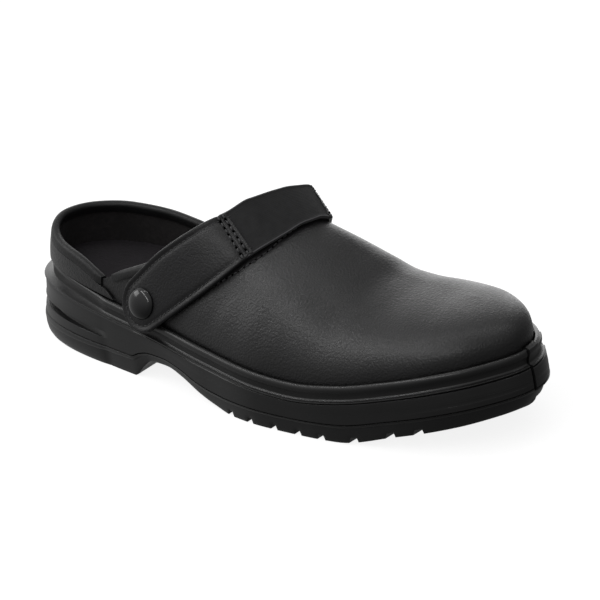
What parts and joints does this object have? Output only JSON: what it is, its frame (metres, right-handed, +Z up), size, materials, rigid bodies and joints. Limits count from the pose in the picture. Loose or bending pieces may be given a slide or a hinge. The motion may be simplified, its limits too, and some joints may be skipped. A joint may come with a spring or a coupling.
{
  "type": "safety clog",
  "caption": "Closed-toe work clog for the right foot: hollow leather upper with a bound heel collar, lugged moulded sole, and an elasticated strap lying over the instep on press studs.",
  "frame": {"origin": "on the floor, under the middle of the sole's box", "axes": "+X from the heel to the toe, +Y to the inner side of the foot, +Z up"},
  "size_m": [0.2992, 0.109, 0.094],
  "materials": {
    "sole_rubber": "semi-matt moulded black",
    "insole_fabric": "black textile",
    "upper_leather": "fine grained satin black",
    "binding": "soft folded black edging",
    "elastic": "matt woven black",
    "stud_lacquer": "gloss black lacquer"
  },
  "bodies": {
    "root": {"sole": "sole_rubber", "insole": "insole_fabric", "upper": "upper_leather", "heel_counter": "upper_leather", "collar_binding": "binding", "throat_binding": "binding", "strap_tab_lateral": "upper_leather", "strap_tab_medial": "upper_leather", "strap_elastic": "elastic", "stud_lateral": "stud_lacquer", "stud_medial": "stud_lacquer"}
  },
  "joints": []
}
